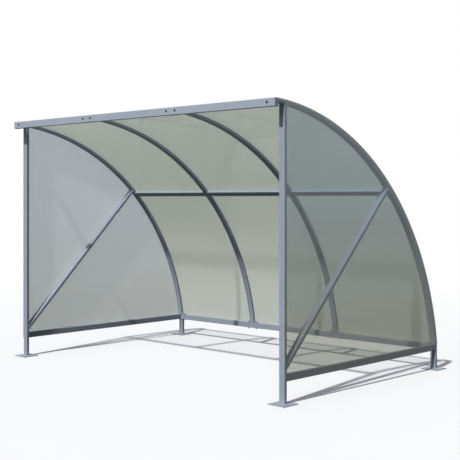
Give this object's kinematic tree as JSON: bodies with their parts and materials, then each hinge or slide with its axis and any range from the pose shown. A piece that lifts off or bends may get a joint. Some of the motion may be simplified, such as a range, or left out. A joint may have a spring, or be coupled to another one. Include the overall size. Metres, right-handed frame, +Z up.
{
  "type": "smoking shelter",
  "caption": "Open-fronted quarter-round smoking shelter: galvanised tube frame on base plates, clear curved roof sheets and clear flat side sheets",
  "frame": {"origin": "on the ground, under the middle of the shelter's overall box", "axes": "+X runs along the shelter from the left end to the right end seen from the open front, +Y runs from the open front to the back, +Z is up"},
  "size_m": [3.16, 2.118, 2.09],
  "materials": {
    "galvanised_steel": "hot-dip galvanised, dull, with a faint spangle",
    "clear_sheet": "clear polycarbonate, glossy, with a light grey-green tint",
    "zinc_plated_bolt": "dull dark zinc plate"
  },
  "bodies": {
    "root": {"left_front_post": "galvanised_steel", "right_front_post": "galvanised_steel", "left_rear_leg": "galvanised_steel", "right_rear_leg": "galvanised_steel", "left_front_base_plate": "galvanised_steel", "right_front_base_plate": "galvanised_steel", "left_rear_base_plate": "galvanised_steel", "right_rear_base_plate": "galvanised_steel", "left_end_arch": "galvanised_steel", "left_inner_arch": "galvanised_steel", "right_inner_arch": "galvanised_steel", "right_end_arch": "galvanised_steel", "left_end_head_plate": "galvanised_steel", "left_inner_head_plate": "galvanised_steel", "right_inner_head_plate": "galvanised_steel", "right_end_head_plate": "galvanised_steel", "left_end_foot_plate": "galvanised_steel", "left_inner_foot_plate": "galvanised_steel", "right_inner_foot_plate": "galvanised_steel", "right_end_foot_plate": "galvanised_steel", "front_beam": "galvanised_steel", "beam_end_caps": "galvanised_steel", "rear_rail": "galvanised_steel", "left_mid_rail": "galvanised_steel", "centre_mid_rail": "galvanised_steel", "right_mid_rail": "galvanised_steel", "left_side_rail": "galvanised_steel", "right_side_rail": "galvanised_steel", "left_brace": "galvanised_steel", "right_brace": "galvanised_steel", "left_roof_sheet": "clear_sheet", "centre_roof_sheet": "clear_sheet", "right_roof_sheet": "clear_sheet", "left_side_sheet": "clear_sheet", "right_side_sheet": "clear_sheet", "beam_bolts": "zinc_plated_bolt", "rear_rail_bolts": "zinc_plated_bolt"}
  },
  "joints": []
}
